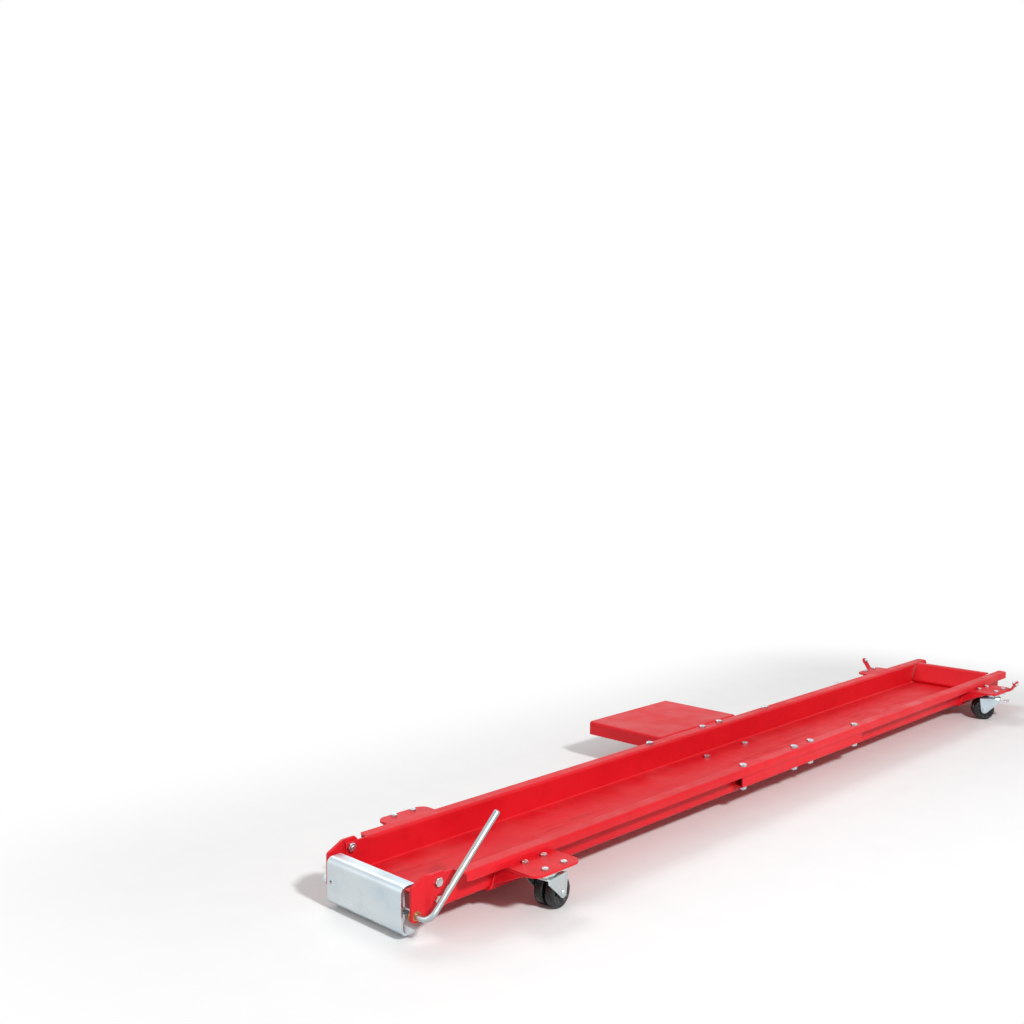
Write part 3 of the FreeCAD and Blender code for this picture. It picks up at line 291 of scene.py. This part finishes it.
def moulded_wheel(name):
    """Smooth black wheel: soft gloss, pale dust rubbed in and a painted highlight on the edges."""
    graph = Graph(bpy.data.materials.new(name))
    tone = graph.mix(graph.patches(60, 0.3, 0.7, detail=4), rgb(16, 16, 18), rgb(25, 25, 27))
    dust = graph.patches(330, 0.55, 0.75, detail=6, roughness=0.7)
    tone = graph.tinted(tone, rgb(60, 58, 56), dust, 0.22)
    # Painted highlight: every sharp edge is tinted a paler grey.
    tone = graph.tinted(tone, rgb(70, 70, 72), graph.edges(1.2 * MM), 0.35)
    rough = graph.patches(90, 0.3, 0.7, 0.26, 0.46, detail=4)
    soft = graph.rounded_normal(0.8 * MM)
    skin = graph.bump(graph.noise(900, detail=2), 0.08 * MM, 0.4, under=soft)
    return graph.finish(Base_Color=tone, Roughness=rough, Normal=skin)


def sintered_bronze(name):
    """Plain bush bronze with oil-dark pores."""
    graph = Graph(bpy.data.materials.new(name))
    pores = graph.patches(1500, 0.5, 0.66)
    tone = graph.mix(graph.patches(120, 0.3, 0.7, detail=4), rgb(176, 134, 78), rgb(198, 158, 98))
    tone = graph.tinted(tone, rgb(92, 66, 36), pores, 0.5)
    rough = graph.patches(300, 0.3, 0.7, 0.34, 0.52)
    pitted = graph.bump(pores, 0.05 * MM, 0.4)
    return graph.finish(Base_Color=tone, Roughness=rough, Normal=pitted, Metallic=1.0)


RED = powder_coat("red_powder_coat")
RED_FLOOR = powder_coat("red_powder_coat_trough", scuffed=True)
ZINC = zinc_plate("zinc_plate")
ZINC_STOP = zinc_plate("zinc_plate_stop", stretch=(1, 0.4, 1))
ZINC_BAR = zinc_plate("zinc_plate_bar", brightness=0.72)
WHEEL = moulded_wheel("black_wheel")
BRONZE = sintered_bronze("sintered_bronze")

BY_SLOT = {"red_paint": RED, "zinc_plate": ZINC, "black_wheel": WHEEL, "bronze_bush": BRONZE}
SPECIAL = {
    "rear_channel": RED_FLOOR,
    "front_channel": RED_FLOOR,
    "rear_stop": ZINC_STOP,
    "stop_lever": ZINC_BAR,
}
for name, node in NODES.items():
    node.data.materials.clear()
    node.data.materials.append(SPECIAL.get(name, BY_SLOT[SLOT_OF[name]]))


# Meshes
SHARP = math.radians(32)


def turns(count):
    """Equal turns around a full circle."""
    return [2 * math.pi * step / count for step in range(count)]


def square_to(axis):
    """Two directions that are square to an axis and to each other."""
    out = axis.orthogonal().normalized()
    return out, axis.cross(out)


def toward(out, side, turn):
    """The direction at a turn from out to side, which are square to each other."""
    return out * math.cos(turn) + side * math.sin(turn)


def lofted(rings, closed=False):
    """Faces between rings of equal length, where a ring of one point is a tip.

    Closed joins the last ring to the first.
    """
    vertices, starts = [], []
    for ring in rings:
        starts.append(len(vertices))
        vertices += ring
    faces = []
    pairs = list(zip(range(len(rings)), range(1, len(rings))))
    if closed:
        pairs.append((len(rings) - 1, 0))
    for below, above in pairs:
        count = max(len(rings[below]), len(rings[above]))
        for step in range(count):
            corners = []
            for row, turn in ((below, step), (below, step + 1), (above, step + 1), (above, step)):
                corner = starts[row] + turn % len(rings[row])
                if corner not in corners:
                    corners.append(corner)
            faces.append(corners)
    return vertices, faces


def joined(shapes):
    """One list of vertices and one of faces from several shapes."""
    vertices, faces = [], []
    for points, polygons in shapes:
        first = len(vertices)
        vertices += points
        faces += [[first + index for index in polygon] for polygon in polygons]
    return vertices, faces


def add_piece(name, shape, material, body, instead_of=None):
    """A new piece that moves with a body and may stand in for a node."""
    vertices, faces = shape
    mesh = bpy.data.meshes.new(name)
    mesh.from_pydata([tuple(point) for point in vertices], [], faces)
    outwards = bmesh.new()
    outwards.from_mesh(mesh)
    bmesh.ops.recalc_face_normals(outwards, faces=outwards.faces)
    outwards.to_mesh(mesh)
    outwards.free()
    mesh.shade_smooth()
    mesh.set_sharp_from_angle(angle=SHARP)
    mesh.materials.append(material)
    piece = bpy.data.objects.new(name, mesh)
    scene.collection.objects.link(piece)
    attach(piece, body)
    if instead_of:
        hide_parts(instead_of)


# Fasteners, measured from the solids they stand for
SAME_POINT = 1e-6
SAME_LEVEL = 1e-5
PARALLEL = 0.999
SEGMENTS = 48
HEX_SIDE = math.radians(60)
CHAMFER_START = 0.95
CHAMFER_SLOPE = math.tan(math.radians(30))
LEAST_HEAD = 0.2 * MM
FORGED_DISH = 0.25 * MM
FORGED_SHARE = 0.8
BOLT_END_CHAMFER = 0.8 * MM
THREAD_DEPTH = 0.4 * MM
M6_PITCH = 1.0 * MM
M8_PITCH = 1.25 * MM
M6_FAMILIES = ("caster", "tie_down")


def solids_of(node):
    """The separate solids of a node: for each, its corner points and its faces as (normal, area)."""
    work = bmesh.new()
    work.from_mesh(NODES[node].data)
    bmesh.ops.remove_doubles(work, verts=work.verts, dist=SAME_POINT)
    waiting = dict.fromkeys(work.verts)
    solids = []
    while waiting:
        stack = [waiting.popitem()[0]]
        points, faces = [], {}
        while stack:
            vertex = stack.pop()
            points.append(vertex.co.copy())
            faces.update(dict.fromkeys(vertex.link_faces))
            for edge in vertex.link_edges:
                other = edge.other_vert(vertex)
                if other in waiting:
                    del waiting[other]
                    stack.append(other)
        solids.append((points, [(face.normal.copy(), face.calc_area()) for face in faces]))
    work.free()
    return solids


def axis_of(faces):
    """The direction that most of the flat area faces, either way."""
    groups = []
    for normal, area in faces:
        for group in groups:
            if abs(group[0].dot(normal)) > PARALLEL:
                group[1] += area
                break
        else:
            groups.append([normal, area])
    return max(groups, key=lambda group: group[1])[0].normalized()


class Hexagon:
    """The measures of one fastener: its axis, which points to the head, its ends and its hexagon."""

    def __init__(self, points, faces):
        self.axis = axis_of(faces)
        self.centre = sum(points, Vector()) / len(points)
        levels = self.levels(points)
        self.low, self.high = levels[0], levels[-1]
        self.end_radius, self.corner = (self.reach(points, level) for level in (self.low, self.high))
        if self.end_radius > self.corner + SAME_LEVEL:
            self.axis = -self.axis
            self.low, self.high = -self.high, -self.low
            self.end_radius, self.corner = self.corner, self.end_radius
        spokes = [self.spoke(point) for point in points]
        self.bore = min(spoke.length for spoke in spokes)
        self.out = max(spokes, key=lambda spoke: spoke.length).normalized()
        self.side = self.axis.cross(self.out)
        self.flat = self.corner * math.cos(HEX_SIDE / 2)
        self.crown = CHAMFER_START * self.flat

    def level(self, point):
        """How far along the axis a point is."""
        return (point - self.centre).dot(self.axis)

    def spoke(self, point):
        """The way from the axis straight out to a point."""
        return point - self.centre - self.axis * self.level(point)

    def levels(self, points):
        return sorted({round(self.level(point) / SAME_LEVEL) * SAME_LEVEL for point in points})

    def reach(self, points, level):
        """The distance from the axis to the farthest of the points at one level."""
        at_level = [point for point in points if abs(self.level(point) - level) < 2 * SAME_LEVEL]
        return max(self.spoke(point).length for point in at_level)

    def tip(self, level):
        """A point on the axis, as a ring of one."""
        return [self.centre + self.axis * level]

    def ring(self, radius, level):
        """A ring of points; radius and level may be numbers or functions of the turn."""
        points = []
        for turn in turns(SEGMENTS):
            away = radius(turn) if callable(radius) else radius
            along = level(turn) if callable(level) else level
            points.append(self.centre + self.axis * along + toward(self.out, self.side, turn) * away)
        return points

    def wall(self, turn):
        """The distance from the axis to the hexagon's side."""
        return self.flat / math.cos(turn % HEX_SIDE - HEX_SIDE / 2)

    def chamfer_drop(self, turn):
        """How far below the end the chamfer cuts the hexagon's side."""
        return (self.wall(turn) - self.crown) * CHAMFER_SLOPE


def detailed_bolt(points, faces, pitch):
    """A bolt with a chamfered, dished head and a grooved shank."""
    hexagon = Hexagon(points, faces)
    low, high, shank = hexagon.low, hexagon.high, hexagon.end_radius
    seat = max(level for level in hexagon.levels(points) if level < high - LEAST_HEAD)
    head = lofted([
        hexagon.tip(seat),
        hexagon.ring(hexagon.wall, seat),
        hexagon.ring(hexagon.wall, lambda turn: high - hexagon.chamfer_drop(turn)),
        hexagon.ring(hexagon.crown, high),
        hexagon.ring(hexagon.crown * FORGED_SHARE, high - FORGED_DISH),
        hexagon.tip(high - FORGED_DISH),
    ])
    rings = [hexagon.tip(low), hexagon.ring(shank - BOLT_END_CHAMFER, low)]
    level = low + BOLT_END_CHAMFER
    while level + pitch < seat:
        rings.append(hexagon.ring(shank, level))
        rings.append(hexagon.ring(shank - THREAD_DEPTH, level + pitch / 2))
        level += pitch
    root = seat + THREAD_DEPTH
    rings += [hexagon.ring(shank, level), hexagon.ring(shank, root), hexagon.tip(root)]
    return joined([head, lofted(rings)])


def detailed_nut(points, faces):
    """A nut with chamfered corners and a bore that is countersunk at both ends."""
    hexagon = Hexagon(points, faces)
    low, high, bore = hexagon.low, hexagon.high, hexagon.bore
    mouth = bore + THREAD_DEPTH
    return lofted([
        hexagon.ring(hexagon.wall, lambda turn: low + hexagon.chamfer_drop(turn)),
        hexagon.ring(hexagon.wall, lambda turn: high - hexagon.chamfer_drop(turn)),
        hexagon.ring(hexagon.crown, high),
        hexagon.ring(mouth, high),
        hexagon.ring(bore, high - THREAD_DEPTH),
        hexagon.ring(bore, low + THREAD_DEPTH),
        hexagon.ring(mouth, low),
        hexagon.ring(hexagon.crown, low),
    ], closed=True)


for name in NODES:
    family, _, kind = name.rpartition("_")
    if kind in ("bolts", "screws"):
        pitch = M6_PITCH if family in M6_FAMILIES else M8_PITCH
        shapes = [detailed_bolt(points, faces, pitch) for points, faces in solids_of(name)]
    elif kind == "nuts":
        shapes = [detailed_nut(points, faces) for points, faces in solids_of(name)]
    else:
        continue
    add_piece(name + "_detail", joined(shapes), ZINC, BODY_OF[name], name)


# Wheels: rounded shoulders, a dished face with ribs and a raised hub
WHEEL_RADIUS = 25.4 * MM
WHEEL_HALF = 8.25 * MM
WHEEL_HUB = 9.05 * MM
WHEEL_BORE = 3.55 * MM
BORE_EDGE = 0.5 * MM
HUB_RADIUS = 8.2 * MM
HUB_EDGE = 0.6 * MM
HUB_FOOT = 0.3 * MM
DISH_INNER = 9.2 * MM
DISH_OUTER = 17.6 * MM
DISH_EDGE = 0.6 * MM
DISH_DEPTH = 2.7 * MM
RIM_INNER = 18.6 * MM
RIM_FOOT = 0.4 * MM
RIM_EDGE = 0.5 * MM
RIBS = 6
RIB_RISE = 1.5 * MM
RIB_SHARE = 0.16
RIB_FLANK = 0.35
SHOULDER = 3.6 * MM
SHOULDER_STEPS = 6
WHEEL_STEPS = 96


def smooth(value):
    """An ease from 0 to 1, flat at both ends."""
    value = min(max(value, 0.0), 1.0)
    return value * value * (3 - 2 * value)


def wheel_side(turn):
    """Radius and height of one face of the wheel, from the bore to the edge of the tread."""
    phase = abs((turn * RIBS / (2 * math.pi)) % 1.0 - 0.5)
    rib = smooth((RIB_SHARE - phase) / (RIB_FLANK * RIB_SHARE))
    dish = WHEEL_HALF - DISH_DEPTH + RIB_RISE * rib
    profile = [
        (WHEEL_BORE, WHEEL_HUB - BORE_EDGE), (WHEEL_BORE + BORE_EDGE, WHEEL_HUB),
        (HUB_RADIUS - HUB_EDGE, WHEEL_HUB), (HUB_RADIUS, WHEEL_HUB - HUB_EDGE),
        (DISH_INNER, dish + HUB_FOOT), (DISH_INNER + DISH_EDGE, dish),
        (DISH_OUTER - DISH_EDGE, dish), (DISH_OUTER, dish + RIM_FOOT),
        (RIM_INNER, WHEEL_HALF - RIM_FOOT), (RIM_INNER + RIM_EDGE, WHEEL_HALF),
    ]
    for step in range(SHOULDER_STEPS + 1):
        angle = math.radians(90 - 90 * step / SHOULDER_STEPS)
        profile.append((WHEEL_RADIUS - SHOULDER + SHOULDER * math.cos(angle),
                        WHEEL_HALF - SHOULDER + SHOULDER * math.sin(angle)))
    return profile


def wheel_shape(centre, axle):
    out, side = square_to(axle)
    columns = []
    for turn in turns(WHEEL_STEPS):
        away = toward(out, side, turn)
        face = wheel_side(turn)
        section = face + [(radius, -along) for radius, along in reversed(face)]
        columns.append([centre + away * radius + axle * along for radius, along in section])
    return lofted(columns, closed=True)


for name in NODES:
    if SLOT_OF[name] == "black_wheel":
        low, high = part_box(name)
        axle = Vector(JOINTS[name + "_spin"]["axis"]).normalized()
        shape = wheel_shape((Vector(low) + Vector(high)) / 2, axle)
        add_piece(name + "_moulded", shape, WHEEL, BODY_OF[name], name)


# Weld beads
BEAD_STEP = 0.9 * MM
BEAD_SIDES = 10
BEAD_RIPPLE = 2.4 * MM
RIPPLE_DEPTH = 0.12
BEAD_NOSE = 0.4 * MM
BEAD_TAPER = 1.6 * MM


def rippled(radius, phase):
    """The radius of a bead at a phase of its ripples."""
    return radius * (1 - RIPPLE_DEPTH + RIPPLE_DEPTH * math.cos(phase))


def bead(start, end, radius):
    """A rippled weld bead between two points, tapered at its ends."""
    start, end = Vector(start), Vector(end)
    along = (end - start).normalized()
    length = (end - start).length
    out, side = square_to(along)
    steps = round(length / BEAD_STEP)
    rings = [[start]]
    for step in range(steps + 1):
        run = length * step / steps
        taper = min(1.0, (min(run, length - run) + BEAD_NOSE) / BEAD_TAPER)
        size = rippled(radius, 2 * math.pi * run / BEAD_RIPPLE) * math.sqrt(taper)
        middle = start + along * run
        rings.append([middle + toward(out, side, turn) * size for turn in turns(BEAD_SIDES)])
    rings.append([end])
    return lofted(rings)


def ring_bead(centre, axis, ring_radius, radius):
    """A rippled weld bead that closes on itself around a shaft."""
    out, side = square_to(axis)
    around = 2 * math.pi * ring_radius
    ripples = round(around / BEAD_RIPPLE)
    rings = []
    for turn in turns(round(around / BEAD_STEP)):
        away = toward(out, side, turn)
        size = rippled(radius, ripples * turn)
        middle = centre + away * ring_radius
        rings.append([middle + toward(away, axis, angle) * size for angle in turns(BEAD_SIDES)])
    return lofted(rings, closed=True)


GUSSET_ROOT = 107.0 * MM
GUSSET_REACH = 172.0 * MM
GUSSET_TOP = 53.0 * MM
GUSSET_FOOT = 65.1 * MM
GUSSET_FOOT_RISE = 10.5 * MM
PLATE_SHEET = 4.0 * MM
GUSSET_BEAD = 1.7 * MM
for name in ("rear_outrigger", "front_outrigger"):
    low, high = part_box(name)
    middle = (Vector(low) + Vector(high)) / 2
    under, foot = high.z - PLATE_SHEET, low.z + GUSSET_FOOT_RISE
    shapes = []
    for end in (-1, 1):
        for side in (-1, 1):
            root = Vector((middle.x + end * GUSSET_TOP, middle.y + side * GUSSET_ROOT, under))
            tip = Vector((root.x, middle.y + side * GUSSET_REACH, under))
            base = Vector((middle.x + end * GUSSET_FOOT, root.y, foot))
            shapes += [bead(root, tip, GUSSET_BEAD), bead(root, base, GUSSET_BEAD)]
    add_piece(name + "_welds", joined(shapes), RED, BODY_OF[name])

TAB_SHEET = 3.0 * MM
TAB_BEAD = 1.4 * MM
tab_low, tab_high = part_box("tie_down_tabs")
low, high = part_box("front_outrigger")
shapes = []
for y in (low.y, high.y):
    for level in (high.z, high.z - TAB_SHEET):
        shapes.append(bead((tab_low.x, y, level), (tab_high.x, y, level), TAB_BEAD))
add_piece("tie_down_tab_welds", joined(shapes), RED, BODY_OF["tie_down_tabs"])

LUG_FACES = (57.5 * MM, 62.5 * MM)
SHAFT_RADIUS = 5.0 * MM
SHAFT_BEAD = 1.4 * MM
low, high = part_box("rear_stop")
pivot = Vector(JOINTS["rear_stop_hinge"]["pos_m"])
shapes = []
for side in (-1, 1):
    for face in LUG_FACES:
        centre = Vector((pivot.x, (low.y + high.y) / 2 + side * face, pivot.z))
        shapes.append(ring_bead(centre, Vector((0, 1, 0)), SHAFT_RADIUS, SHAFT_BEAD))
add_piece("stop_lug_welds", joined(shapes), ZINC, BODY_OF["rear_stop"])


# Floor, light and camera
FLOOR_REACH = 40.0
FADE_START = 0.04
FADE_END = 0.6
WORLD_LIGHT = 0.34


def floor_material():
    """Pale floor that keeps the shadow near the dolly and runs out to white."""
    graph = Graph(bpy.data.materials.new("studio_floor"))
    along, across, _ = graph.position()
    squares = []
    for place, reach in ((along, cad_box[1].x), (across, cad_box[1].y)):
        past = graph.calculate("SUBTRACT", graph.calculate("ABSOLUTE", place), reach)
        past = graph.calculate("MAXIMUM", past, 0.0)
        squares.append(graph.times(past, past))
    away = graph.ramp(graph.calculate("SQRT", graph.plus(*squares)), FADE_START, FADE_END)
    blend = graph.add("ShaderNodeMixShader")
    graph.put(graph.times(away, graph.seen()), blend.inputs["Fac"])
    graph.put(graph.tree.nodes["Principled BSDF"].outputs[0], blend.inputs[1])
    graph.put(graph.add("ShaderNodeEmission").outputs[0], blend.inputs[2])
    graph.put(blend.outputs[0], graph.tree.nodes["Material Output"].inputs["Surface"])
    tone = graph.mix(graph.noise(14, detail=4), rgb(236, 236, 236), rgb(242, 242, 241))
    return graph.finish(Base_Color=tone, Roughness=0.7)


floor_mesh = bpy.data.meshes.new("studio_floor")
corners = [(-FLOOR_REACH, -FLOOR_REACH, 0), (FLOOR_REACH, -FLOOR_REACH, 0),
           (FLOOR_REACH, FLOOR_REACH, 0), (-FLOOR_REACH, FLOOR_REACH, 0)]
floor_mesh.from_pydata(corners, [], [(0, 1, 2, 3)])
floor = bpy.data.objects.new("studio_floor", floor_mesh)
scene.collection.objects.link(floor)
floor_mesh.materials.append(floor_material())

scene.world = bpy.data.worlds.new("studio_world")
sky = Graph(scene.world)
background = sky.tree.nodes["Background"]
sky.put((1, 1, 1, 1), background.inputs["Color"])
sky.put(sky.ramp(sky.seen(), 0.0, 1.0, WORLD_LIGHT, 1.0), background.inputs["Strength"])


def area_light(name, place, target, size, power):
    """A round lamp that faces a target."""
    lamp = bpy.data.lights.new(name, "AREA")
    lamp.shape = "DISK"
    lamp.size = size
    lamp.energy = power
    holder = bpy.data.objects.new(name, lamp)
    scene.collection.objects.link(holder)
    holder.location = place
    heading = Vector(target) - Vector(place)
    holder.rotation_euler = heading.to_track_quat("-Z", "Y").to_euler()


area_light("key_light", place=(-1.2, -3.4, 2.9), target=(0, 0, 0), size=0.5, power=155)
area_light("fill_light", place=(-3.4, 1.0, 1.6), target=(-0.3, 0, 0), size=2.2, power=18)
area_light("rim_light", place=(0.6, 2.4, 3.4), target=(0.2, 0, 0), size=1.8, power=40)

# The camera's heading is counted in degrees from +X towards +Y, its dip downwards from level
CAMERA_PLACE = (-2.157, -1.458934, 0.7675)
CAMERA_HEADING = 44.35
CAMERA_DIP = 4.45
SENSOR_WIDTH = 36.0
FOCAL_PIXELS = 1200.0
IMAGE_PIXELS = 1024.0
FARTHEST = 200.0
camera_data = bpy.data.cameras.new("camera")
camera_data.sensor_width = SENSOR_WIDTH
camera_data.lens = SENSOR_WIDTH * FOCAL_PIXELS / IMAGE_PIXELS
camera_data.clip_end = FARTHEST
camera = bpy.data.objects.new("camera", camera_data)
scene.collection.objects.link(camera)
camera.location = CAMERA_PLACE
camera.rotation_euler = (math.radians(90 - CAMERA_DIP), 0.0, math.radians(CAMERA_HEADING - 90))
scene.camera = camera
